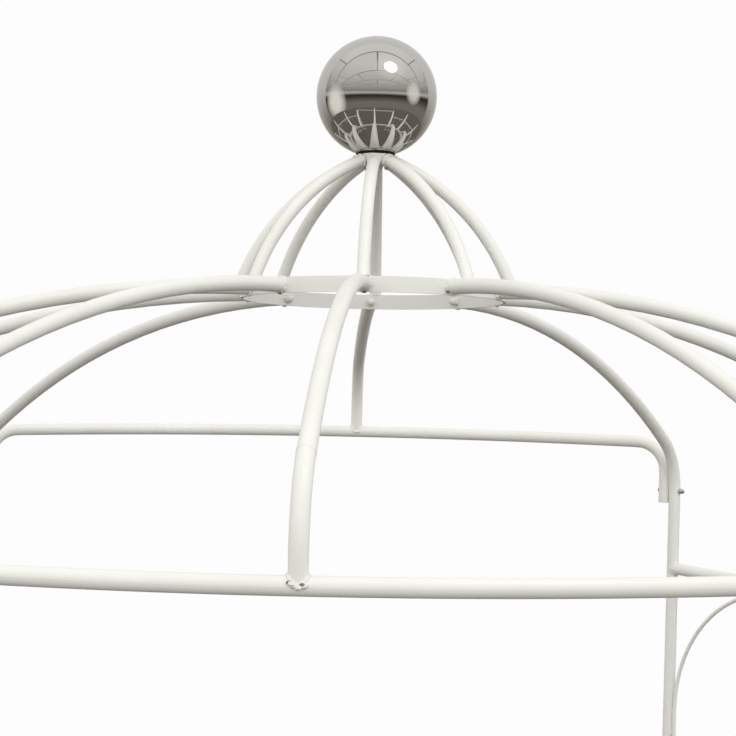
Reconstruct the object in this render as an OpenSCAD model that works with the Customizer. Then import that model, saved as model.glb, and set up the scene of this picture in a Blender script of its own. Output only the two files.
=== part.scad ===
// Metal rose pavilion: eight bent tube posts that run on as roof ribs to a small
// crown ring, two doorway bows, arched side panels and a ball on a lantern.
// Millimetres. Z is up, the ground is Z = 0 and the front doorway faces -Y.
// Plan angles are counted from the front, positive towards +X.

/* [Plan] */
// Radius of the circle that the post axes stand on
plan_radius = 1200; // [950:10:1700]
// Angle from the doorway's middle to the posts beside it, in degrees
door_angle = 38; // [28:0.5:46]
// Angle from the front to the next posts round the side, in degrees
side_angle = 70; // [62:1:80]

/* [Heights] */
// Height of the doorway bows' axis above the ground
bow_height = 2050; // [1850:10:2500]
// Height of the crown ring's middle above the bows' axis
roof_rise = 318; // [240:2:420]
// Height of the top rails' axis above the ground
rail_height = 1785; // [1450:5:1850]
// Height of the bottom rails' axis above the ground
bottom_rail_height = 250; // [80:10:500]

/* [Tubes and rods] */
// Diameter of the posts, ribs, bows and rails
tube_d = 24; // [16:1:30]
// Diameter of the round rod in the side panels
rod_d = 8; // [6:1:12]
// Diameter of the lantern's legs
leg_d = 20; // [12:1:22]

/* [Roof bends] */
// Radius of the tight shoulder bend at the eaves, on the tube's axis
shoulder_r = 135; // [80:1:160]
// Depth below the bows' axis at which a post's shoulder bend ends
shoulder_drop = 103; // [90:1:130]
// Length of a middle rib's upright end above the bow's axis
rib_stub = 30; // [20:1:45]

/* [Doorway bows] */
// Radius of a bow's corner bends, on the tube's axis
bow_corner_r = 60; // [38:1:80]
// How far a bow's legs reach down below its axis
bow_leg = 124; // [110:1:200]
// How far a bow's middle stands out from its legs in plan
bow_swell = 150; // [60:5:240]

/* [Crown] */
// Outside diameter of the crown ring's flat bar
ring_d = 440; // [380:5:560]
// Height of the flat bar
ring_h = 25; // [18:1:40]
// Thickness of the flat bar
ring_t = 5; // [3:0.5:8]
// Diameter of the ball
ball_d = 200; // [150:5:260]
// Height of the ball's middle above the ring's middle
ball_rise = 328; // [290:2:400]
// Diameter of the hub under the ball
hub_d = 60; // [54:1:90]
// Height of the hub's straight rim
hub_h = 15; // [12:1:24]
// How far below the hub's top the legs' axes meet its rim
leg_drop = 13; // [11:1:22]
// Bend radius of the lantern's legs, on the leg's axis
leg_bend_r = 360; // [300:5:900]
// How far outside the crown ring's face the legs' axes land
leg_reach = 7; // [0:1:8]
// Plan angle at which the ribs of the front doorway's posts meet the ring, in degrees
door_rib_angle = 38; // [28:1:50]
// Plan angle at which the ribs of the front side posts meet the ring, in degrees
side_rib_angle = 66; // [56:1:80]
// Plan angle at which the ribs of the rear side posts meet the ring, in degrees
rear_side_rib_angle = 108; // [96:1:120]
// Plan angle at which the ribs of the rear doorway's posts meet the ring, in degrees
rear_rib_angle = 137; // [130:1:152]

/* [How the roof stands] */
// How far the crown stands to the right of the plan's middle
crown_offset = 76; // [0:2:120]
// How far the front middle rib's foot stands to the left of its bow's middle
front_foot_offset = 21; // [0:1:80]
// How far the rear middle rib's foot stands to the right of its bow's middle
rear_foot_offset = 64; // [0:1:120]
// Plan angle by which the three front ribs meet the ring further to the left, in degrees
front_rib_turn = 4.5; // [0:0.5:8]
// How far the crown leans back, its front edge up, in degrees
crown_lean = 4.7; // [0:0.1:6]
// How far the lantern is turned on the ring, clockwise from above, in degrees
lantern_turn = 5; // [0:0.5:10]
// How far clockwise the feet of the front left, left, rear left and rear legs stand from their even places, in degrees
leg_steps = [8, 5, -5, -3]; // [-10:1:10]

/* [Side panels] */
// Length of the level straight at the middle of each arch
arch_flat = 60; // [0:5:120]
// Length of the arched rod's straight ends below its springing
arch_tail = 60; // [0:5:150]

/* [Feet] */
// Width of the square foot plates
foot_w = 80; // [60:5:140]
// Thickness of the foot plates
foot_t = 5; // [3:0.5:10]

/* [Fit] */
// Gap left for the weld between pieces that meet
weld_gap = 0.3; // [0.2:0.05:0.5]

/* [Hidden] */
$fn = 180;

tube_r = tube_d / 2;
rod_r = rod_d / 2;
leg_r = leg_d / 2;
ring_r = ring_d / 2;
ball_r = ball_d / 2;
hub_r = hub_d / 2;
leg_foot_r = ring_r + leg_reach;
crown_z = bow_height + roof_rise;
post_bend_z = bow_height - shoulder_drop;
// the ribs end square to the ring's face, with their tops just under its top edge
rib_end_h = ring_h / 2 - tube_r - weld_gap;
// a tube that meets another at right angles is coped, and its end is cut off square this far from the other's axis
cope_back = tube_d / 5;
// the mark that a bend's end carries
mark_h = tube_d / 60;
mark_l = tube_d / 4;
// plan angles of the right side's posts, and where their ribs meet the ring; the left side's are the same to the left
right_angles = [door_angle, side_angle, 180 - side_angle, 180 - door_angle];
left_angles = -right_angles;
rib_angles = [door_rib_angle, side_rib_angle, rear_side_rib_angle, rear_rib_angle];
// a bow's leg stands against its post, on the same circle
bow_leg_angle = door_angle - 2 * asin((tube_d + weld_gap) / 2 / plan_radius);
bow_leg_x = plan_radius * sin(bow_leg_angle);
bow_leg_y = plan_radius * cos(bow_leg_angle);
bow_end_angle = 2 * atan(bow_swell / (bow_leg_x + bow_corner_r));
bow_plan_r = (bow_leg_x - bow_corner_r * cos(bow_end_angle)) / sin(bow_end_angle);
bow_centre_y = bow_leg_y + bow_swell - bow_plan_r;
// the lantern's legs leave the hub's rim and land on the outer edge of the ring's flat bar
hub_top_z = ball_rise - sqrt(pow(ball_r, 2) - pow(hub_r, 2)) - weld_gap;
leg_top_z = hub_top_z - leg_drop;
leg_foot_z = ring_h / 2 + weld_gap;
leg_fall = leg_top_z - leg_foot_z;
leg_count = 8;

powder = "White";

function on_plan(a, r) = [r * sin(a), -r * cos(a)];
function ring_point(a) = [
    crown_offset + ring_r * sin(a),
    rib_end_h * sin(crown_lean) - ring_r * cos(a) * cos(crown_lean),
    crown_z + rib_end_h * cos(crown_lean) + ring_r * cos(a) * sin(crown_lean)
];
function run_of(q, p) = norm([p[0] - q[0], p[1] - q[1]]);
// the downward slope at which a rib leaves the ring's face, square to it, at plan angle a
function end_slope(a) = -asin(sin(crown_lean) * cos(a));
// the slope at which the sweep from end slope s meets the shoulder, and the sweep's bend radius
function slope_of(run, fall, s) =
    2 * atan((fall - shoulder_r * cos(s)) / (run - shoulder_r * (1 - sin(s)))) - s;
function sweep_r_of(run, fall, s) =
    shoulder_r + (run - shoulder_r * (1 - sin(s))) / (sin(slope_of(run, fall, s)) - sin(s));
function rib_foot(side) =
    let (x = side < 0 ? -front_foot_offset : rear_foot_offset)
    [x, side * (bow_centre_y + sqrt(pow(bow_plan_r, 2) - pow(x, 2)))];
function bay_width(a, b) = norm(on_plan(a, plan_radius) - on_plan(b, plan_radius));
function arch_r(a, b) = (bay_width(a, b) - arch_flat) / 2 - tube_r - weld_gap - rod_r;
function arch_spring_z(a, b) = rail_height - tube_r - weld_gap - rod_r - arch_r(a, b);

// Puts a piece drawn about the ring's middle in its place on the roof.
module on_crown() {
    translate([crown_offset, 0, crown_z]) rotate([-crown_lean, 0, 0]) children();
}

// The faint raised band that the bending die leaves where a tight bend ends, drawn about the origin along Y.
module bend_mark() {
    rotate([90, 0, 0]) cylinder(r = tube_r + mark_h, h = mark_l, center = true);
}

// A rib from its upright length at plan point p up to the ring at plan angle a: the upright, the tight
// shoulder, then the wide sweep, which comes square to the ring's face and runs in past it.
module roof_tube(a, p, bend_z, upright) {
    q = ring_point(a);
    s = end_slope(a);
    run = run_of(q, p);
    fall = q[2] - bend_z;
    slope = slope_of(run, fall, s);
    sweep = sweep_r_of(run, fall, s);
    translate([p[0], p[1], bend_z]) rotate([0, 0, atan2(p[1] - q[1], p[0] - q[0])]) rotate([90, 0, 0]) {
        rotate([90, 0, 0]) cylinder(d = tube_d, h = upright);
        translate([-shoulder_r, 0, 0]) {
            rotate_extrude(angle = 90 - slope) translate([shoulder_r, 0]) circle(d = tube_d);
            rotate([0, 0, 90 - slope]) {
                translate([shoulder_r, 0, 0]) bend_mark();
                translate([shoulder_r - sweep, 0, 0])
                    rotate_extrude(angle = slope - s + asin(cope_back / sweep)) translate([sweep, 0]) circle(d = tube_d);
            }
        }
    }
}

// A post and its roof rib, one tube from the foot plate to the ring. It stands at plan angle a and meets
// the ring at plan angle b.
module post(a, b) {
    p = on_plan(a, plan_radius);
    color(powder) difference() {
        roof_tube(b, p, post_bend_z, post_bend_z - foot_t - weld_gap);
        on_crown() cylinder(r = ring_r + weld_gap, h = 4 * tube_d, center = true);
    }
}

// A middle rib, which stands on a doorway bow. side is -1 at the front and 1 at the rear.
module middle_rib(side) {
    color(powder) difference() {
        roof_tube(side < 0 ? -front_rib_turn : 180, rib_foot(side), bow_height + rib_stub, rib_stub - cope_back);
        on_crown() cylinder(r = ring_r + weld_gap, h = 4 * tube_d, center = true);
        bow_span(side, tube_r + weld_gap);
    }
}

// The level stretch of a bow, of tube radius r.
module bow_span(side, r) {
    rotate([0, 0, side < 0 ? 180 : 0]) translate([0, bow_centre_y, bow_height])
        rotate([0, 0, 90 - bow_end_angle])
            rotate_extrude(angle = 2 * bow_end_angle) translate([bow_plan_r, 0]) circle(r = r);
}

// One end of a bow's level stretch, at its corner: the bend's mark, the corner and the leg.
module bow_end() {
    translate([bow_plan_r, 0, 0]) {
        bend_mark();
        rotate([90, 0, 90]) translate([0, -bow_corner_r, 0]) {
            rotate([0, 0, 90]) rotate_extrude(angle = 90) translate([bow_corner_r, 0]) circle(d = tube_d);
            translate([-bow_corner_r, 0, 0]) rotate([90, 0, 0])
                cylinder(d = tube_d, h = bow_leg - bow_corner_r);
        }
    }
}

module bow(side) {
    color(powder) {
        bow_span(side, tube_r);
        rotate([0, 0, side < 0 ? 180 : 0]) translate([0, bow_centre_y, bow_height]) {
            rotate([0, 0, 90 - bow_end_angle]) bow_end();
            mirror([1, 0, 0]) rotate([0, 0, 90 - bow_end_angle]) bow_end();
        }
    }
}

module crown_ring() {
    color(powder) on_crown() difference() {
        cylinder(r = ring_r, h = ring_h, center = true);
        cylinder(r = ring_r - ring_t, h = 2 * ring_h, center = true);
    }
}

// One leg of the lantern in its own upright plane, from inside the hub's rim at plan angle a to below the
// ring's top edge at plan angle b.
module lantern_leg(a, b) {
    p = on_plan(a, hub_r);
    q = on_plan(b, leg_foot_r);
    run = norm(q - p);
    half_turn = asin(norm([run, leg_fall]) / 2 / leg_bend_r);
    slope = atan(leg_fall / run) - half_turn;
    translate([p[0], p[1], leg_top_z]) rotate([0, 0, atan2(q[1] - p[1], q[0] - p[0])]) rotate([90, 0, 0])
        translate([-leg_bend_r * sin(slope), -leg_bend_r * cos(slope), 0])
            rotate([0, 0, 90 - slope - 2 * half_turn - 2])
                rotate_extrude(angle = 2 * half_turn + 3) translate([leg_bend_r, 0]) circle(d = leg_d);
}

module lantern_legs() {
    color(powder) on_crown() difference() {
        union() for (k = [0:leg_count - 1]) {
            a = 360 * k / leg_count - lantern_turn;
            lantern_leg(a, k < leg_count / 2 ? a : a - leg_steps[leg_count - 1 - k]);
        }
        translate([0, 0, leg_foot_z - 2 * leg_d]) cylinder(r = ring_r + 2 * leg_d, h = 2 * leg_d);
        translate([0, 0, leg_top_z - 2 * leg_d]) cylinder(r = hub_r + weld_gap, h = 4 * leg_d);
        translate([0, 0, ball_rise]) sphere(r = ball_r + weld_gap);
    }
}

// The turned hub: a straight rim with a hollow that the ball sits in.
module crown_hub() {
    color(powder) on_crown() difference() {
        translate([0, 0, hub_top_z - hub_h]) cylinder(r = hub_r, h = hub_h);
        translate([0, 0, ball_rise]) sphere(r = ball_r + weld_gap);
    }
}

module crown_ball() {
    color("Silver") on_crown() translate([0, 0, ball_rise]) sphere(r = ball_r);
}

// A straight level rail between the posts at two plan angles.
module rail(a, b, z) {
    p = on_plan(a, plan_radius);
    q = on_plan(b, plan_radius);
    color(powder) difference() {
        translate([p[0], p[1], z]) rotate([0, 0, atan2(q[1] - p[1], q[0] - p[0])])
            translate([cope_back, 0, 0]) rotate([0, 90, 0])
                cylinder(d = tube_d, h = norm(q - p) - 2 * cope_back);
        for (c = [p, q])
            translate([c[0], c[1], z]) cylinder(r = tube_r + weld_gap, h = 2 * tube_d, center = true);
    }
}

// Draws its children in the upright plane of a bay: X along the bay from its middle, Y up.
module in_bay(a, b) {
    p = on_plan(a, plan_radius);
    q = on_plan(b, plan_radius);
    translate([(p[0] + q[0]) / 2, (p[1] + q[1]) / 2, 0])
        rotate([0, 0, atan2(q[1] - p[1], q[0] - p[0])]) rotate([90, 0, 0]) children();
}

// The rod arch of a bay, two quarter rounds and a short straight. Its top meets the top rail and its ends
// run down the posts.
module arch(a, b) {
    r = arch_r(a, b);
    color(powder) in_bay(a, b) translate([0, arch_spring_z(a, b), 0]) {
        translate([-arch_flat / 2, r, 0]) rotate([0, 90, 0]) cylinder(d = rod_d, h = arch_flat);
        for (s = [0, 1]) mirror([s, 0, 0]) translate([arch_flat / 2, 0, 0]) {
            rotate_extrude(angle = 90) translate([r, 0]) circle(d = rod_d);
            translate([r, 0, 0]) rotate([90, 0, 0]) cylinder(d = rod_d, h = arch_tail);
        }
    }
}

// Two upright rods of a bay, at its thirds, from the bottom rail to the arch.
module bay_rods(a, b) {
    low = bottom_rail_height + tube_r + weld_gap;
    inner = arch_r(a, b) - rod_r - weld_gap;
    color(powder) in_bay(a, b) for (k = [-1, 1]) {
        x = k * bay_width(a, b) / 6;
        top = arch_spring_z(a, b) + sqrt(pow(inner, 2) - pow(max(abs(x) + rod_r - arch_flat / 2, 0), 2));
        translate([x, low, 0]) rotate([-90, 0, 0]) cylinder(d = rod_d, h = top - low);
    }
}

module bottom_rails(angles) {
    for (i = [0:2]) rail(angles[i], angles[i + 1], bottom_rail_height);
}

module trellis_rods(angles) {
    for (i = [0:2]) bay_rods(angles[i], angles[i + 1]);
}

module foot_plates() {
    color(powder) for (a = concat(left_angles, right_angles)) {
        p = on_plan(a, plan_radius);
        translate([p[0], p[1], foot_t / 2]) rotate([0, 0, a]) cube([foot_w, foot_w, foot_t], center = true);
    }
}

post(left_angles[0], -rib_angles[0] - front_rib_turn);  // post_front_left
post(right_angles[0], rib_angles[0] - front_rib_turn);  // post_front_right
post(left_angles[1], -rib_angles[1]);  // post_side_left_front
post(right_angles[1], rib_angles[1]);  // post_side_right_front
post(left_angles[2], -rib_angles[2]);  // post_side_left_rear
post(right_angles[2], rib_angles[2]);  // post_side_right_rear
post(left_angles[3], -rib_angles[3]);  // post_rear_left
post(right_angles[3], rib_angles[3]);  // post_rear_right
middle_rib(-1);  // rib_front
middle_rib(1);  // rib_rear
bow(-1);  // bow_front
bow(1);  // bow_rear
crown_ring();
lantern_legs();
crown_hub();
crown_ball();
rail(left_angles[0], left_angles[1], rail_height);  // top_rail_left_front
rail(left_angles[1], left_angles[2], rail_height);  // top_rail_left_middle
rail(left_angles[2], left_angles[3], rail_height);  // top_rail_left_rear
rail(right_angles[0], right_angles[1], rail_height);  // top_rail_right_front
rail(right_angles[1], right_angles[2], rail_height);  // top_rail_right_middle
rail(right_angles[2], right_angles[3], rail_height);  // top_rail_right_rear
arch(left_angles[0], left_angles[1]);  // arch_left_front
arch(left_angles[1], left_angles[2]);  // arch_left_middle
arch(left_angles[2], left_angles[3]);  // arch_left_rear
arch(right_angles[0], right_angles[1]);  // arch_right_front
arch(right_angles[1], right_angles[2]);  // arch_right_middle
arch(right_angles[2], right_angles[3]);  // arch_right_rear
bottom_rails(left_angles);  // bottom_rails_left
bottom_rails(right_angles);  // bottom_rails_right
trellis_rods(left_angles);  // trellis_rods_left
trellis_rods(right_angles);  // trellis_rods_right
foot_plates();
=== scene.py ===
import math

import bmesh
import bpy
from mathutils import Matrix, Vector, noise


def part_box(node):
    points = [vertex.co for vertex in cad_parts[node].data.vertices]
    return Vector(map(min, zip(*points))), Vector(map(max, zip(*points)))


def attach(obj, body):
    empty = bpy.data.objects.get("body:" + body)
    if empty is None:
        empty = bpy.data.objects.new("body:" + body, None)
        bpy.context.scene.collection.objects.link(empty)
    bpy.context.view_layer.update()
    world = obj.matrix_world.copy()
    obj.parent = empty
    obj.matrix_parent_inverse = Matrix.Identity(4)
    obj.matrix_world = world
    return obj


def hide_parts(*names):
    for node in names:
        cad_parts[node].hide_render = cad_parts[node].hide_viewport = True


# A round garden pavilion for climbing roses, of bent steel tube welded and bolted together and powder
# coated white, with a polished steel ball on top. Metres, Z up, the front doorway faces -Y. The tubes
# come from the frame, and this file gives them their coat and adds the plates, welds, bolts and plugs.
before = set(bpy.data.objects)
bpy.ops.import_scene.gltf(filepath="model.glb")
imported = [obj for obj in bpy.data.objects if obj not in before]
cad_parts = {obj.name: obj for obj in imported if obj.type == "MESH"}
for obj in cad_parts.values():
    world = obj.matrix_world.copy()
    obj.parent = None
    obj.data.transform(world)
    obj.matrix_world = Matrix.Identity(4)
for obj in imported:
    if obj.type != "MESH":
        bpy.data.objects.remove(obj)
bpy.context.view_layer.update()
bpy.ops.object.select_all(action="DESELECT")

# --- Steel tubes and rods ----------------------------------------------------------------------------
# Posts, ribs, bows, rails, lantern and trellis are mild steel tube, rod and flat bar, cold bent and
# welded, then dipped, dried and powder coated white in one go, so every piece carries the same coat.


def hex_colour(code):
    """The linear colour of an sRGB hex code."""
    parts = [int(code[i:i + 2], 16) / 255 for i in (1, 3, 5)]
    linear = [c / 12.92 if c <= 0.04045 else ((c + 0.055) / 1.055) ** 2.4 for c in parts]
    return (*linear, 1.0)


def add_node(tree, kind, inputs=(), **settings):
    """Adds a node of a kind, with its settings, and its inputs given as values or as sockets to link."""
    node = tree.nodes.new("ShaderNode" + kind)
    for name, value in settings.items():
        setattr(node, name, value)
    for name, value in dict(inputs).items():
        if isinstance(value, bpy.types.NodeSocket):
            tree.links.new(value, node.inputs[name])
        else:
            node.inputs[name].default_value = value
    return node


def new_material(name):
    """An empty node material with its tree, output and Principled shader joined up."""
    material = bpy.data.materials.new(name)
    material.use_nodes = True
    tree = material.node_tree
    tree.nodes.clear()
    shader = add_node(tree, "BsdfPrincipled")
    add_node(tree, "OutputMaterial", {"Surface": shader.outputs["BSDF"]})
    return material, tree, shader


def set_ramp(node, stops):
    """Sets a colour ramp's stops, given as (position, hex colour)."""
    ramp = node.color_ramp
    while len(ramp.elements) < len(stops):
        ramp.elements.new(0.5)
    for element, (position, code) in zip(ramp.elements, stops):
        element.position = position
        element.color = hex_colour(code)


# Polyester powder coat, sprayed dry and baked: a hard satin-gloss white skin about 0.08 mm thick. Its
# orange peel breaks up the highlights along each tube, and it lies a little warmer where it is thin.
powder_coat, tree, shader = new_material("powder_coat_white")
place = add_node(tree, "TexCoord").outputs["Object"]
cloud = add_node(tree, "TexNoise", {"Vector": place, "Scale": 9.0, "Detail": 3.0, "Roughness": 0.55})
tone = add_node(tree, "ValToRGB", {"Fac": cloud.outputs["Fac"]})
set_ramp(tone, [(0.30, "#EAE9E4"), (0.55, "#EDEDE9"), (0.80, "#F0F0ED")])
gloss = add_node(tree, "MapRange", {"Value": cloud.outputs["Fac"], "From Min": 0.3, "From Max": 0.75,
                                    "To Min": 0.34, "To Max": 0.44})
# Real orange peel has a wave of 1 to 2 mm. It is drawn at 3 mm, so that it shows from across a garden.
peel = add_node(tree, "TexNoise", {"Vector": place, "Scale": 330.0, "Detail": 2.0, "Roughness": 0.5})
swell = add_node(tree, "TexNoise", {"Vector": place, "Scale": 60.0, "Detail": 1.0, "Roughness": 0.4})
skin = add_node(tree, "Bump", {"Height": peel.outputs["Fac"], "Strength": 0.10, "Distance": 0.00005})
skin = add_node(tree, "Bump", {"Height": swell.outputs["Fac"], "Strength": 0.12, "Distance": 0.0002,
                               "Normal": skin.outputs["Normal"]})
tree.links.new(tone.outputs["Color"], shader.inputs["Base Color"])
tree.links.new(gloss.outputs["Result"], shader.inputs["Roughness"])
tree.links.new(skin.outputs["Normal"], shader.inputs["Normal"])
shader.inputs["IOR"].default_value = 1.5

for name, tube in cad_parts.items():
    if name != "crown_ball":
        tube.data.materials.clear()
        tube.data.materials.append(powder_coat)

# --- Foot plates --------------------------------------------------------------------------------------
# A square plate of flat bar under each post, with rounded corners and a hole near each corner for a
# ground anchor. Its edges are broken with a file, so that the coat doesn't pull back from them.

rail_low, rail_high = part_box("top_rail_right_middle")
tube_r = (rail_high[0] - rail_low[0]) / 2
top_rail_z = (rail_low[2] + rail_high[2]) / 2


def post_foot(node):
    """The plan point of a post's axis, from the corner of its box that lies furthest out."""
    low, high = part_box(node)
    x, y = [low[i] + tube_r if -low[i] > high[i] else high[i] - tube_r for i in (0, 1)]
    return Vector((x, y, 0.0))


def set_down(pattern, name, place, up=(0, 0, 1), along=(1, 0, 0), scale=1.0):
    """A copy of a pattern with its own mesh, at a place, with its Z along up and its X most nearly along."""
    z = Vector(up).normalized()
    y = z.cross(Vector(along)).normalized()
    turn = Matrix((y.cross(z), y, z)).transposed().to_4x4()
    piece = pattern.copy()
    piece.data = pattern.data.copy()
    piece.name = name
    piece.data.transform(Matrix.Translation(place) @ turn @ Matrix.Scale(scale, 4))
    bpy.context.collection.objects.link(piece)
    return piece


def join_pieces(pieces, name):
    """Joins pieces into one object of this name."""
    bpy.ops.object.select_all(action="DESELECT")
    for piece in pieces:
        piece.select_set(True)
    bpy.context.view_layer.objects.active = pieces[0]
    bpy.ops.object.join()
    pieces[0].name = name
    return pieces[0]


def fit_out(piece, material):
    """Gives a piece its material, and fixes it to the pavilion."""
    piece.data.materials.clear()
    piece.data.materials.append(material)
    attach(piece, "root")


plate_w = 0.080
plate_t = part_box("foot_plates")[1][2]
plate_corner_r = 0.009
anchor_hole_at = 0.028  # from the middle of the plate, both ways
anchor_hole_r = 0.0045
bpy.ops.mesh.primitive_cube_add(size=1, location=(0, 0, plate_t / 2))
plate = bpy.context.object
plate.scale = (plate_w, plate_w, plate_t)
bpy.ops.object.transform_apply(location=True, rotation=False, scale=True)
bpy.ops.object.mode_set(mode="EDIT")
edges = bmesh.from_edit_mesh(plate.data).edges
for edge in edges:
    edge.select_set(abs(edge.verts[0].co.z - edge.verts[1].co.z) > plate_t / 2)
bpy.ops.mesh.bevel(offset=plate_corner_r, segments=8)
bpy.ops.object.mode_set(mode="OBJECT")
drills = []
for x in (-anchor_hole_at, anchor_hole_at):
    for y in (-anchor_hole_at, anchor_hole_at):
        bpy.ops.mesh.primitive_cylinder_add(vertices=32, radius=anchor_hole_r, depth=4 * plate_t,
                                            location=(x, y, 0))
        drills.append(bpy.context.object)
drill = join_pieces(drills, "anchor_drill")
hole = plate.modifiers.new("anchor_holes", "BOOLEAN")
hole.object = drill
broken = plate.modifiers.new("broken_edges", "BEVEL")
broken.width = 0.0006
broken.segments = 2
bpy.ops.object.select_all(action="DESELECT")
plate.select_set(True)
bpy.context.view_layer.objects.active = plate
bpy.ops.object.modifier_apply(modifier=hole.name)
bpy.ops.object.modifier_apply(modifier=broken.name)
bpy.ops.object.shade_smooth_by_angle(angle=math.radians(35))
bpy.data.objects.remove(drill)

posts = sorted(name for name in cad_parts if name.startswith("post_"))
for post in posts:
    foot = post_foot(post)
    piece = set_down(plate, post.replace("post", "foot_plate"), (foot.x, foot.y, 0),
                     along=(foot.y, -foot.x, 0))
    fit_out(piece, powder_coat)
    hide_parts("foot_plates")
bpy.data.objects.remove(plate)

# --- Welds of the posts and side panels ---------------------------------------------------------------
# Gas-shielded welds, laid by hand round every joint and left as they fell. Under the coat they show as
# soft uneven beads: right round where a tube meets a plate, post or rail, and short tacks at the arches.


def bead_pattern(path_r, bead_r, ripples, rough):
    """A weld bead laid round a tube, with the ripples of the torch and uneven lumps."""
    bpy.ops.mesh.primitive_torus_add(major_radius=path_r, minor_radius=bead_r, major_segments=72,
                                     minor_segments=10)
    bead = bpy.context.object
    for vertex in bead.data.vertices:
        turn = math.atan2(vertex.co.y, vertex.co.x)
        way = Vector((math.cos(turn), math.sin(turn), 0.0))
        lump = noise.noise(way * 2.2 + Vector((0, 0, 900 * bead_r)))
        swell = 1 + 0.10 * math.cos(ripples * turn) + rough * lump
        vertex.co = way * path_r + (vertex.co - way * path_r) * swell
    bpy.ops.object.shade_smooth()
    return bead


def lay_over(bead, tube_radius, least):
    """Bends a bead down over the side of a round tube that lies along X."""
    for vertex in bead.data.vertices:
        reach = math.sqrt(max(tube_radius ** 2 - vertex.co.y ** 2, 0.0))
        vertex.co.z += max(reach, least)
    return bead


def tack_pattern(length, thickness):
    """A short tack weld along X: a rounded lump with two or three ripples."""
    bpy.ops.mesh.primitive_uv_sphere_add(segments=20, ring_count=12, radius=1)
    tack = bpy.context.object
    for vertex in tack.data.vertices:
        ripple = 1 + 0.10 * math.cos(9 * vertex.co.x) + 0.25 * noise.noise(vertex.co * 1.6)
        vertex.co = Vector((vertex.co.x * length / 2, vertex.co.y * thickness * ripple / 2,
                            vertex.co.z * thickness * ripple / 2))
    bpy.ops.object.shade_smooth()
    return tack


# The coat over a weld: the same white powder, a little thicker and duller, with the scale and spatter of the
# weld showing through it as a 2 mm ripple and small pits, whose hollows are painted darker as painted shade.
coat_on_weld, tree, shader = new_material("powder_coat_white_over_weld")
place = add_node(tree, "TexCoord").outputs["Object"]
spatter = add_node(tree, "TexVoronoi", {"Vector": place, "Scale": 420.0})
shaded_pits = add_node(tree, "MapRange", {"Value": spatter.outputs["Distance"], "From Min": 0.05, "From Max": 0.45})
# painted shade: the tone darkens towards the bottom of each pit
tone = add_node(tree, "ValToRGB", {"Fac": shaded_pits.outputs["Result"]})
set_ramp(tone, [(0.0, "#BFBCB4"), (0.35, "#E2E1DC"), (1.0, "#EBEAE6")])
ripple = add_node(tree, "TexNoise", {"Vector": place, "Scale": 480.0, "Detail": 2.0, "Roughness": 0.5})
skin = add_node(tree, "Bump", {"Height": shaded_pits.outputs["Result"], "Strength": 0.6, "Distance": 0.0004})
skin = add_node(tree, "Bump", {"Height": ripple.outputs["Fac"], "Strength": 0.5, "Distance": 0.0004,
                               "Normal": skin.outputs["Normal"]})
tree.links.new(tone.outputs["Color"], shader.inputs["Base Color"])
tree.links.new(skin.outputs["Normal"], shader.inputs["Normal"])
shader.inputs["Roughness"].default_value = 0.36
shader.inputs["IOR"].default_value = 1.5

foot_bead = bead_pattern(tube_r + 0.0008, 0.0026, 26, 0.30)
# each bead is turned another way, so that no two posts show the same lumps
welds = [set_down(foot_bead, "foot_weld", post_foot(post) + Vector((0, 0, plate_t)),
                  along=(math.cos(i), math.sin(i), 0)) for i, post in enumerate(posts)]
fit_out(join_pieces(welds, "welds_post_feet"), coat_on_weld)
bpy.data.objects.remove(foot_bead)

# the posts in order round each side, front to rear
sides = {side: [post_foot(f"post_{name}") for name in
                (f"front_{side}", f"side_{side}_front", f"side_{side}_rear", f"rear_{side}")]
         for side in ("left", "right")}
bays = {(side, bay): (feet[i], feet[i + 1]) for side, feet in sides.items()
        for i, bay in enumerate(("front", "middle", "rear"))}
bottom_low, bottom_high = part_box("bottom_rails_right")
bottom_rail_z = (bottom_low[2] + bottom_high[2]) / 2
upward = Vector((0, 0, 1))

rail_bead = lay_over(bead_pattern(tube_r + 0.0004, 0.0023, 24, 0.30), tube_r + 0.0004, 0.004)
for rail, z in (("top_rails", top_rail_z), ("bottom_rails", bottom_rail_z)):
    welds = []
    for p, q in bays.values():
        for here, there in ((p, q), (q, p)):
            welds.append(set_down(rail_bead, "rail_weld", here + upward * z, up=there - here,
                                  along=(0, 0, 1)))
    fit_out(join_pieces(welds, "welds_" + rail), coat_on_weld)
bpy.data.objects.remove(rail_bead)

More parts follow.
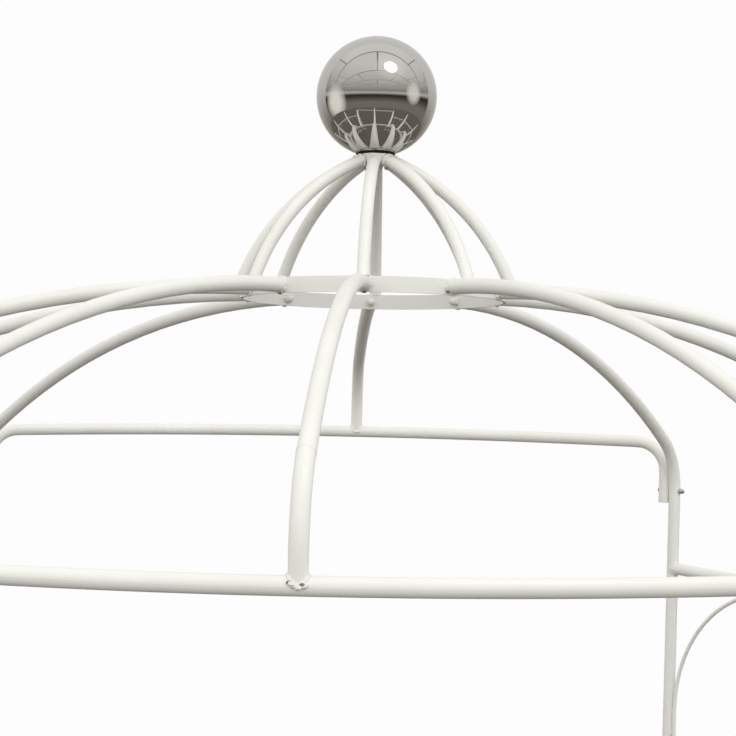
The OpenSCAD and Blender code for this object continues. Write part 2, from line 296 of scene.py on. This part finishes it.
rod_r = 0.004
weld_gap = 0.0003
arch_flat = 0.060  # the level straight at the middle of an arch
rod_bead = lay_over(bead_pattern(rod_r + 0.0002, 0.0013, 12, 0.30), tube_r, 0.0)
rod_top_bead = bead_pattern(rod_r, 0.0014, 12, 0.30)
tack = tack_pattern(0.016, 0.0038)
top_tack_out, side_tack_out = 0.0036, 0.0034  # from the middle of the rod to its tacks
tack_sink = 0.0006  # how far the tacks under the rail sink into the arch
rod_welds, arch_welds = [], []
for (side, bay), (p, q) in bays.items():
    way = (q - p).normalized()
    out = way.cross(upward)
    middle = (p + q) / 2
    arch_low, arch_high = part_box(f"arch_{side}_{bay}")
    arch_r = ((q - p).length - arch_flat) / 2 - tube_r - weld_gap - rod_r
    spring_z = arch_high[2] - rod_r - arch_r
    for s in (-1, 1):
        rod = middle + way * s * (q - p).length / 6
        lean_in = (q - p).length / 6 + rod_r - arch_flat / 2
        rod_top = spring_z + math.sqrt((arch_r - rod_r) ** 2 - lean_in ** 2)
        rod_welds.append(set_down(rod_bead, "rod_weld", rod + upward * bottom_rail_z, along=way))
        rod_welds.append(set_down(rod_top_bead, "rod_weld", rod + upward * rod_top, along=way))
        crest = middle + out * s * top_tack_out + upward * (arch_high[2] - tack_sink)
        arch_welds.append(set_down(tack, "arch_tack", crest, along=way))
        seam = middle + way * s * (arch_flat / 2 + arch_r + rod_r)
        for turn in (-1, 1):
            # just below the springing, and just above the end of the tail
            for z in (spring_z - 0.004, arch_low[2] + 0.012):
                arch_welds.append(set_down(tack, "arch_tack", seam + out * turn * side_tack_out + upward * z,
                                           up=way * s, along=(0, 0, 1)))
fit_out(join_pieces(rod_welds, "welds_trellis_rods"), coat_on_weld)
fit_out(join_pieces(arch_welds, "welds_arches"), coat_on_weld)
for pattern in (rod_bead, rod_top_bead):
    bpy.data.objects.remove(pattern)

# --- Bolts of the doorway bows ------------------------------------------------------------------------
# Each bow hangs on the posts by its bent-down ends. A 6 mm stainless bolt goes through the end and the
# post, with a round head inside the doorway and a domed nut on the far side.

# Stainless steel, cold formed and tumbled: a plain grey metal with a soft shine and fine turning marks.
stainless, tree, shader = new_material("stainless_steel_tumbled")
place = add_node(tree, "TexCoord").outputs["Object"]
marks = add_node(tree, "TexNoise", {"Vector": place, "Scale": 700.0, "Detail": 3.0, "Roughness": 0.6})
shine = add_node(tree, "MapRange", {"Value": marks.outputs["Fac"], "From Min": 0.3, "From Max": 0.7,
                                    "To Min": 0.22, "To Max": 0.38})
skin = add_node(tree, "Bump", {"Height": marks.outputs["Fac"], "Strength": 0.3, "Distance": 0.00005})
tree.links.new(shine.outputs["Result"], shader.inputs["Roughness"])
tree.links.new(skin.outputs["Normal"], shader.inputs["Normal"])
shader.inputs["Metallic"].default_value = 1.0
shader.inputs["Base Color"].default_value = hex_colour("#D2D1CE")


def round_edges(piece, width):
    """Rounds a piece's sharp edges and smooths its shading."""
    bpy.ops.object.select_all(action="DESELECT")
    piece.select_set(True)
    bpy.context.view_layer.objects.active = piece
    bevel = piece.modifiers.new("rounded_edges", "BEVEL")
    bevel.width = width
    bevel.segments = 3
    bpy.ops.object.modifier_apply(modifier=bevel.name)
    bpy.ops.object.shade_smooth_by_angle(angle=math.radians(40))


def domed_nut_pattern(flats):
    """A domed nut on its washer, standing on Z = 0. flats is the width across the hexagon's flats."""
    bpy.ops.mesh.primitive_cylinder_add(vertices=40, radius=flats * 0.62, depth=flats * 0.12,
                                        location=(0, 0, flats * 0.06))
    washer = bpy.context.object
    bpy.ops.object.transform_apply(location=True)
    round_edges(washer, flats * 0.025)
    bpy.ops.mesh.primitive_cylinder_add(vertices=6, radius=flats / math.sqrt(3), depth=flats * 0.5,
                                        location=(0, 0, flats * 0.37))
    hexagon = bpy.context.object
    bpy.ops.object.transform_apply(location=True)
    round_edges(hexagon, flats * 0.05)
    bpy.ops.mesh.primitive_uv_sphere_add(segments=32, ring_count=16, radius=flats * 0.46,
                                         location=(0, 0, flats * 0.66))
    dome = bpy.context.object
    bpy.ops.object.transform_apply(location=True)
    bpy.ops.object.shade_smooth()
    return join_pieces([hexagon, washer, dome], "domed_nut")


def round_head_pattern(width):
    """A round bolt head, standing on Z = 0: a ball cut off flat, with a short collar."""
    bpy.ops.mesh.primitive_uv_sphere_add(segments=32, ring_count=16, radius=width * 0.5)
    head = bpy.context.object
    head.scale = (1, 1, 0.68)
    bpy.ops.object.transform_apply(location=False, rotation=False, scale=True)
    bpy.ops.object.mode_set(mode="EDIT")
    bpy.ops.mesh.select_all(action="SELECT")
    bpy.ops.mesh.bisect(plane_co=(0, 0, 0), plane_no=(0, 0, 1), clear_inner=True, use_fill=True)
    bpy.ops.mesh.select_all(action="DESELECT")
    sheet = bmesh.from_edit_mesh(head.data)
    for face in sheet.faces:
        face.select_set(face.normal.z < -0.9)
    bpy.ops.mesh.extrude_region_move(TRANSFORM_OT_translate={"value": (0, 0, -width * 0.08)})
    bpy.ops.object.mode_set(mode="OBJECT")
    bpy.ops.object.shade_smooth_by_angle(angle=math.radians(40))
    return head


nut = domed_nut_pattern(0.010)
head = round_head_pattern(0.011)
bolt_rise = 0.024  # from the cut end of the bow to its bolt
head_sink = 0.0006  # how far heads and nuts sink into the round of the tube
plug_pieces = []
for end in ("front", "rear"):
    low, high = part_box("bow_" + end)
    fastenings = []
    for side in ("left", "right"):
        post = post_foot(f"post_{end}_{side}")
        leg = Vector((low[0] + tube_r if side == "left" else high[0] - tube_r,
                      high[1] - tube_r if end == "front" else low[1] + tube_r, low[2]))
        way = Vector((post.x - leg.x, post.y - leg.y, 0)).normalized()
        bolt = leg + upward * bolt_rise
        far_side = Vector((post.x, post.y, bolt.z))
        fastenings.append(set_down(head, "bolt_head", bolt - way * (tube_r - head_sink), up=-way,
                                   along=(0, 0, 1)))
        fastenings.append(set_down(nut, "bolt_nut", far_side + way * (tube_r - head_sink), up=way,
                                   along=(0, 0, 1)))
        plug_pieces.append((f"plug_bow_{end}_{side}", leg))
    fit_out(join_pieces(fastenings, f"bolts_bow_{end}"), stainless)
bpy.data.objects.remove(nut)
bpy.data.objects.remove(head)

# --- Plugs of the doorway bows ------------------------------------------------------------------------
# Pressed into the cut end of each bow so that rain stays out: a low cap with a thin rim. Moulded white
# polyethylene, a touch greyer and duller than the coat beside it, with a very fine grain.
white_plastic, tree, shader = new_material("polyethylene_white_moulded")
place = add_node(tree, "TexCoord").outputs["Object"]
grain = add_node(tree, "TexNoise", {"Vector": place, "Scale": 900.0, "Detail": 2.0})
tint = add_node(tree, "ValToRGB", {"Fac": grain.outputs["Fac"]})
set_ramp(tint, [(0.3, "#E6E5E1"), (0.7, "#ECEBE8")])
skin = add_node(tree, "Bump", {"Height": grain.outputs["Fac"], "Strength": 0.3, "Distance": 0.00004})
tree.links.new(tint.outputs["Color"], shader.inputs["Base Color"])
tree.links.new(skin.outputs["Normal"], shader.inputs["Normal"])
shader.inputs["Roughness"].default_value = 0.48
shader.inputs["IOR"].default_value = 1.51

plug_t = 0.0022
bpy.ops.mesh.primitive_cylinder_add(vertices=48, radius=tube_r - 0.0002, depth=plug_t,
                                    location=(0, 0, -plug_t / 2))
plug = bpy.context.object
bpy.ops.object.transform_apply(location=True)
bpy.ops.object.mode_set(mode="EDIT")
for face in bmesh.from_edit_mesh(plug.data).faces:
    face.select_set(face.normal.z < -0.9)
bpy.ops.mesh.inset(thickness=0.003, depth=-0.0006)
bpy.ops.object.mode_set(mode="OBJECT")
round_edges(plug, 0.0004)
for name, leg in plug_pieces:
    fit_out(set_down(plug, name, leg), white_plastic)
bpy.data.objects.remove(plug)

# --- Feet of the middle ribs --------------------------------------------------------------------------
# A middle rib stands on each bow, its end coped to the tube. The welder built it up in two or three
# heavy drops where the torch couldn't get round, with small pits between them, whose shade is painted on as
# dark lumps.

# Painted shade in the pits of a weld: a dull brown-grey lump that stands in for the shadow there, not a
# colour of the steel.
pit_shade_paint, tree, shader = new_material("painted_shade_in_weld_pits")
place = add_node(tree, "TexCoord").outputs["Object"]
pit_shade_mottle = add_node(tree, "TexNoise", {"Vector": place, "Scale": 600.0, "Detail": 3.0})
tint = add_node(tree, "ValToRGB", {"Fac": pit_shade_mottle.outputs["Fac"]})
set_ramp(tint, [(0.35, "#57514A"), (0.65, "#8A837A")])
tree.links.new(tint.outputs["Color"], shader.inputs["Base Color"])
shader.inputs["Roughness"].default_value = 0.75
shader.inputs["IOR"].default_value = 1.5

heavy_bead = lay_over(bead_pattern(tube_r + 0.0005, 0.0022, 15, 0.55), tube_r + 0.0002, 0.0)
drop = tack_pattern(0.009, 0.0064)
pit_shade = tack_pattern(0.0074, 0.0038)
for end, facing in (("front", -1), ("rear", 1)):
    rib_low, rib_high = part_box("rib_" + end)
    bow_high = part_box("bow_" + end)[1]
    foot = Vector((rib_low[0] + tube_r, rib_low[1] + tube_r if end == "front" else rib_high[1] - tube_r,
                   bow_high[2] - tube_r))
    pieces = [set_down(heavy_bead, "rib_weld", foot)]
    # the drops and pits lie across and up the outer side of the bow, sunk towards its round
    for x, z in ((-0.0075, 0.0035), (0.001, -0.0005), (0.0078, 0.0015)):
        reach = math.sqrt((tube_r + 0.0012) ** 2 - z ** 2 - 0.35 * x ** 2)
        pieces.append(set_down(drop, "rib_weld_drop", foot + Vector((x, facing * reach, z)),
                               up=(0, facing, 0), along=(1, 0, 0.4 * x / 0.008)))
    fit_out(join_pieces(pieces, f"welds_rib_{end}_foot"), coat_on_weld)
    # dark lumps of painted shade in the pits between the drops
    shaded_pits = []
    for x, z in ((-0.0098, 0.0052), (0.0052, 0.0030)):
        reach = math.sqrt((tube_r + 0.0018) ** 2 - z ** 2 - 0.25 * x ** 2)
        shaded_pits.append(set_down(pit_shade, "rib_weld_pit_shade", foot + Vector((x, facing * reach, z)), up=(0, facing, 0)))
    fit_out(join_pieces(shaded_pits, f"shaded_pits_rib_{end}_foot"), pit_shade_paint)
bpy.data.objects.remove(heavy_bead)

# --- Crown ring: welds and nuts -----------------------------------------------------------------------
# The posts and middle ribs butt against the flat bar of the ring and are tacked round with a lumpy bead.
# The two ribs and four doorway posts also have a bolt in their ends, drawn up by a domed nut inside and
# coated over with the rest.

ring_low, ring_high = [Vector(corner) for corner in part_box("crown_ring")]
ball_low, ball_high = [Vector(corner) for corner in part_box("crown_ball")]
ring_centre = (ring_low + ring_high) / 2
ball_centre = (ball_low + ball_high) / 2
ball_r = (ball_high.x - ball_low.x) / 2
crown_up = (ball_centre - ring_centre).normalized()
lean = math.atan2(crown_up.y, crown_up.z)
crown = Matrix.Translation(ring_centre) @ Matrix.Rotation(-lean, 4, "X")
ring_r = (ring_high.x - ring_low.x) / 2
ring_t = 0.005
ring_h = (ring_high.z - ring_low.z - 2 * ring_r * math.sin(lean)) / math.cos(lean)

# plan angles from the front, in degrees, at which the ribs meet the ring: the six of the doorways, then
# the four at the sides
bolted_angles = [-4.5, -42.5, 33.5, 180, -137, 137]
rib_angles = bolted_angles + [-66, 66, -108, 108]
rib_bead = bead_pattern(tube_r + 0.0004, 0.0024, 17, 0.60)
nut = domed_nut_pattern(0.013)
rib_end_h = ring_h / 2 - tube_r - weld_gap
end_welds, nuts, shaded_pits = [], [], []
for i, angle in enumerate(rib_angles):
    turn = math.radians(angle)
    out = Vector((math.sin(turn), -math.cos(turn), 0))
    axis = crown.to_3x3() @ out
    face = crown @ (out * ring_r + upward * rib_end_h)
    inner = crown @ (out * (ring_r - ring_t) + upward * (rib_end_h - 0.001))
    # each bead is turned another way round its rib
    round_rib = (math.cos(2.4 * i) * out.y, -math.cos(2.4 * i) * out.x, math.sin(2.4 * i))
    end_welds.append(set_down(rib_bead, "rib_end_weld", face + axis * 0.0006, up=axis, along=round_rib))
    if angle in bolted_angles:
        nuts.append(set_down(nut, "ring_nut", inner, up=-axis, along=(0.3 * (i % 3), 0, 1)))
        # a dark lump of painted shade at the edge of each bolted rib's bead, for the shadow in the gap
        # between the tube and the ring
        across = axis.cross(crown_up) if angle > 0 else Vector((0, 0, 0))
        edge = (across * 1.2 - crown_up).normalized() * (tube_r + 0.0012)
        shaded_pits.append(set_down(pit_shade, "rib_end_pit_shade", face + axis * 0.0022 + edge, up=axis,
                             along=crown_up.cross(axis)))
fit_out(join_pieces(end_welds, "welds_rib_ends"), coat_on_weld)
fit_out(join_pieces(nuts, "ring_nuts"), coat_on_weld)
fit_out(join_pieces(shaded_pits, "pits_rib_ends"), pit_shade_paint)
for pattern in (rib_bead, nut, pit_shade):
    bpy.data.objects.remove(pattern)

# --- Lantern: welds -----------------------------------------------------------------------------------
# Eight bent tubes stand on the edge of the ring's bar and meet under the hub. Each foot has a tack on
# both faces of the bar, and each head is welded round to the hub's rim.

leg_r = 0.010
hub_r = 0.030
leg_bend_r = 0.360
leg_foot_r = ring_r + 0.007
leg_drop = 0.013  # from the top of the hub down to where the legs meet its rim
leg_head_h = (ball_centre - ring_centre).length - math.sqrt(ball_r ** 2 - hub_r ** 2) - weld_gap - leg_drop
leg_foot_h = ring_h / 2 + weld_gap
lantern_turn = 5  # degrees
leg_steps = (0, 0, 0, 0, -3, -5, 5, 8)  # degrees that each leg goes round on its way down
head_bead = bead_pattern(leg_r + 0.0002, 0.0018, 20, 0.45)
lantern_welds = []
for k in range(8):
    at_head = math.radians(45 * k - lantern_turn)
    at_foot = at_head - math.radians(leg_steps[k])
    start = Vector((math.sin(at_head), -math.cos(at_head), 0)) * hub_r
    end = Vector((math.sin(at_foot), -math.cos(at_foot), 0)) * leg_foot_r
    run = (end - start).length
    fall = leg_head_h - leg_foot_h
    slope = math.atan2(fall, run) - math.asin(math.hypot(run, fall) / 2 / leg_bend_r)
    way = (end - start).normalized()
    down = way * math.cos(slope) - upward * math.sin(slope)
    joint = start + upward * leg_head_h + down * 0.0015
    lantern_welds.append(set_down(head_bead, "head_weld", crown @ joint, up=crown.to_3x3() @ down,
                                  along=(0.2, 0.1, 1)))
    round_ring = Vector((math.cos(at_foot), math.sin(at_foot), 0))
    outward = Vector((math.sin(at_foot), -math.cos(at_foot), 0))
    for reach in (ring_r - ring_t - 0.0006, ring_r + 0.0008):
        spot = outward * reach + upward * (ring_h / 2 + 0.0002)
        lantern_welds.append(set_down(tack, "foot_tack", crown @ spot, up=crown_up, along=round_ring))
fit_out(join_pieces(lantern_welds, "welds_lantern"), coat_on_weld)
for pattern in (head_bead, tack, drop):
    bpy.data.objects.remove(pattern)

# --- Crown ball ---------------------------------------------------------------------------------------
# A hollow stainless steel ball, two spun halves welded at the equator, ground and buffed to a mirror.
# It sits in the hub's hollow, held to the rim by one thin bead of weld.

# Mirror-polished stainless steel: a bright, slightly warm metal. The buffing wheel leaves hair-fine
# arcs and a faint haze, which only soften the reflections a little.
mirror_steel, tree, shader = new_material("stainless_steel_mirror_polished")
place = add_node(tree, "TexCoord").outputs["Object"]
haze = add_node(tree, "TexNoise", {"Vector": place, "Scale": 14.0, "Detail": 4.0, "Roughness": 0.6})
smear = add_node(tree, "MapRange", {"Value": haze.outputs["Fac"], "From Min": 0.35, "From Max": 0.75,
                                    "To Min": 0.012, "To Max": 0.05})
tree.links.new(smear.outputs["Result"], shader.inputs["Roughness"])
shader.inputs["Metallic"].default_value = 1.0
shader.inputs["Base Color"].default_value = hex_colour("#CDCBC7")

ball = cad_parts["crown_ball"]
ball.data.materials.clear()
ball.data.materials.append(mirror_steel)

# The bead under the ball is stainless steel left as welded. Its dull dark brown, nearly black beside the
# mirror, is painted
# shade: it stands in for the shadowed gap where the ball curves under into the hub.
gap_shade_steel, tree, shader = new_material("stainless_steel_painted_gap_shade")
place = add_node(tree, "TexCoord").outputs["Object"]
gap_shade_mottle = add_node(tree, "TexNoise", {"Vector": place, "Scale": 260.0, "Detail": 3.0})
tint = add_node(tree, "ValToRGB", {"Fac": gap_shade_mottle.outputs["Fac"]})
set_ramp(tint, [(0.35, "#2B2621"), (0.60, "#403830"), (0.75, "#5A5048")])
rough = add_node(tree, "Bump", {"Height": gap_shade_mottle.outputs["Fac"], "Strength": 0.4, "Distance": 0.0002})
tree.links.new(tint.outputs["Color"], shader.inputs["Base Color"])
tree.links.new(rough.outputs["Normal"], shader.inputs["Normal"])
shader.inputs["Metallic"].default_value = 1.0
shader.inputs["Roughness"].default_value = 0.52

seam_bead = bead_pattern(hub_r + 0.0008, 0.0021, 40, 0.25)
seat_h = math.sqrt(ball_r ** 2 - hub_r ** 2)
seam = set_down(seam_bead, "weld_ball_seam", ball_centre - crown_up * (seat_h + 0.0002), up=crown_up)
fit_out(seam, gap_shade_steel)
bpy.data.objects.remove(seam_bead)

# --- Studio -------------------------------------------------------------------------------------------
# A round pale floor that fades into a white surround, one round lamp high at the front right and an even
# soft light from above and in front. Undersides and the ball see a darker floor than the camera does.


def stage_material(name, colour_seen, colour_lit):
    """A matt stage material that is pale to the camera and darker to everything that it lights."""
    material, tree, shader = new_material(name)
    ray = add_node(tree, "LightPath")
    mix = add_node(tree, "MixRGB", {"Fac": ray.outputs["Is Camera Ray"],
                                    "Color1": hex_colour(colour_lit), "Color2": hex_colour(colour_seen)})
    tree.links.new(mix.outputs["Color"], shader.inputs["Base Color"])
    shader.inputs["Roughness"].default_value = 0.9
    return material, tree, shader


floor_radius = 6.0
bpy.ops.mesh.primitive_circle_add(vertices=128, radius=floor_radius, fill_type="NGON")
floor = bpy.context.object
floor.name = "studio_floor"
floor_paint, tree, shader = stage_material("floor_paint", "#F7F7F7", "#68635E")
place = add_node(tree, "TexCoord").outputs["Object"]
reach = add_node(tree, "VectorMath", {0: place}, operation="LENGTH")
fade = add_node(tree, "MapRange", {"Value": reach.outputs["Value"], "From Min": 2.2,
                                   "From Max": floor_radius - 0.3})
ray = add_node(tree, "LightPath")
fade_seen = add_node(tree, "Math", {0: fade.outputs["Result"], 1: ray.outputs["Is Camera Ray"]},
                     operation="MULTIPLY")
white = add_node(tree, "Emission", {"Color": hex_colour("#FDFDFD")})
blend = add_node(tree, "MixShader", {"Fac": fade_seen.outputs["Value"], 1: shader.outputs["BSDF"],
                                     2: white.outputs["Emission"]})
output = next(node for node in tree.nodes if node.type == "OUTPUT_MATERIAL")
tree.links.new(blend.outputs["Shader"], output.inputs["Surface"])
floor.data.materials.append(floor_paint)

world = bpy.data.worlds.new("studio")
bpy.context.scene.world = world
world.use_nodes = True
tree = world.node_tree
tree.nodes.clear()
ray = add_node(tree, "LightPath")
way = add_node(tree, "TexCoord").outputs["Generated"]
part = add_node(tree, "SeparateXYZ", {"Vector": way})

# What lights the coat: pale walls all round that fade upwards, strongest in front, and a dim lower rim.
walls = add_node(tree, "MapRange", {"Value": part.outputs["Z"], "From Min": -0.10, "From Max": 0.02,
                                    "To Min": 0.25, "To Max": 1.13})
overhead = add_node(tree, "MapRange", {"Value": part.outputs["Z"], "From Min": 0.30, "From Max": 0.90,
                                       "To Max": -0.32})
near = add_node(tree, "VectorMath", {0: way, 1: Vector((0.1, -0.98, 0.15)).normalized()},
                operation="DOT_PRODUCT")
front = add_node(tree, "MapRange", {"Value": near.outputs["Value"], "From Min": 0.3, "From Max": 0.8,
                                    "To Max": 0.36})
dome = add_node(tree, "Math", {0: walls.outputs["Result"], 1: overhead.outputs["Result"]}, operation="ADD")
dome = add_node(tree, "Math", {0: dome.outputs["Value"], 1: front.outputs["Result"]}, operation="ADD")
dome_light = add_node(tree, "Background", {"Color": hex_colour("#FFFEFB"), "Strength": dome.outputs["Value"]})

# What the polished steel mirrors: a grey ceiling with a few beams and a glow round the lamp, a dark
# horizon with a pale window at each side, and a pale backdrop behind.
rise = add_node(tree, "MapRange", {"Value": part.outputs["Z"], "From Min": -1.0, "From Max": 1.0})
room = add_node(tree, "ValToRGB", {"Fac": rise.outputs["Result"]})
set_ramp(room, [(0.38, "#7D776F"), (0.455, "#4A4540"), (0.49, "#2E2B28"), (0.505, "#6E6C69"),
                (0.53, "#C2C0BC"), (0.565, "#8F8D8A"), (0.63, "#B9B8B5"), (0.75, "#D2D2D0"),
                (0.92, "#E6E6E5")])
level = add_node(tree, "CombineXYZ", {"X": part.outputs["Z"], "Y": part.outputs["Z"], "Z": part.outputs["Z"]})
flat = add_node(tree, "VectorMath", {0: way, 1: level.outputs["Vector"]}, operation="DIVIDE")
beams = add_node(tree, "TexBrick", {"Vector": flat.outputs["Vector"], "Scale": 0.26, "Mortar Size": 0.009,
                                    "Mortar Smooth": 0.8, "Color1": hex_colour("#FFFFFF"),
                                    "Color2": hex_colour("#EDEDED"), "Mortar": hex_colour("#9A9896")})
above = add_node(tree, "MapRange", {"Value": part.outputs["Z"], "From Min": 0.14, "From Max": 0.3})
room = add_node(tree, "MixRGB", {"Fac": above.outputs["Result"], "Color1": room.outputs["Color"],
                                 "Color2": beams.outputs["Color"]}, blend_type="MULTIPLY")
# soft patches, each with its direction, the cosines where it begins and is full, and its share of light
patches = (((-0.987, -0.05, -0.145), 0.90, 0.985, 1.0),
           ((0.958, -0.274, 0.08), 0.95, 0.99, 0.8),
           ((0.36, -0.50, 0.79), 0.88, 0.99, 0.6))
for aim, begin, full, share in patches:
    near = add_node(tree, "VectorMath", {0: way, 1: Vector(aim).normalized()}, operation="DOT_PRODUCT")
    near = add_node(tree, "MapRange", {"Value": near.outputs["Value"], "From Min": begin, "From Max": full,
                                       "To Max": share})
    room = add_node(tree, "MixRGB", {"Fac": near.outputs["Result"], "Color1": room.outputs["Color"],
                                     "Color2": hex_colour("#F4F1EA")})
behind = add_node(tree, "MapRange", {"Value": part.outputs["Y"], "From Min": 0.42, "From Max": 0.46})
backdrop = add_node(tree, "ValToRGB", {"Fac": rise.outputs["Result"]})
set_ramp(backdrop, [(0.30, "#7E7973"), (0.48, "#B9B7B3"), (0.60, "#CDCCCA"), (0.80, "#D6D6D5")])
room = add_node(tree, "MixRGB", {"Fac": behind.outputs["Result"], "Color1": room.outputs["Color"],
                                 "Color2": backdrop.outputs["Color"]})
room_light = add_node(tree, "Background", {"Color": room.outputs["Color"], "Strength": 1.15})
seen_light = add_node(tree, "Background", {"Color": hex_colour("#FDFDFD"), "Strength": 1.0})
surround = add_node(tree, "MixShader", {"Fac": ray.outputs["Is Glossy Ray"],
                                        1: dome_light.outputs["Background"],
                                        2: room_light.outputs["Background"]})
surround = add_node(tree, "MixShader", {"Fac": ray.outputs["Is Camera Ray"], 1: surround.outputs["Shader"],
                                        2: seen_light.outputs["Background"]})
add_node(tree, "OutputWorld", {"Surface": surround.outputs["Shader"]})

# a round lamp in the ceiling, whose image is the bright spot in the ball
place, target = Vector((1.9, -2.5, 6.6)), Vector((0.0, 0.0, 2.0))
bpy.ops.object.light_add(type="AREA", location=place)
lamp = bpy.context.object
lamp.name = "ceiling_lamp"
lamp.data.shape = "DISK"
lamp.data.size = 1.9
lamp.data.energy = 26
lamp.rotation_euler = (target - place).to_track_quat("-Z", "Y").to_euler()

# The camera stands in front of the front doorway, a little higher than the crown ring.
bpy.ops.object.camera_add()
camera = bpy.context.object
camera.data.sensor_width = 36.0
camera.data.lens = 101.35
camera.data.shift_x = 0.0883
pan, tilt, roll = 0.0164, 0.0493, 0.0181  # to the left, down and to the side, in radians
turn = (Matrix.Rotation(pan, 4, "Z") @ Matrix.Rotation(math.pi / 2 - tilt, 4, "X")
        @ Matrix.Rotation(roll, 4, "Z"))
camera.matrix_world = Matrix.Translation((0.0185, -3.4395, 2.4120)) @ turn
bpy.context.scene.camera = camera
bpy.context.scene.view_settings.view_transform = "Standard"
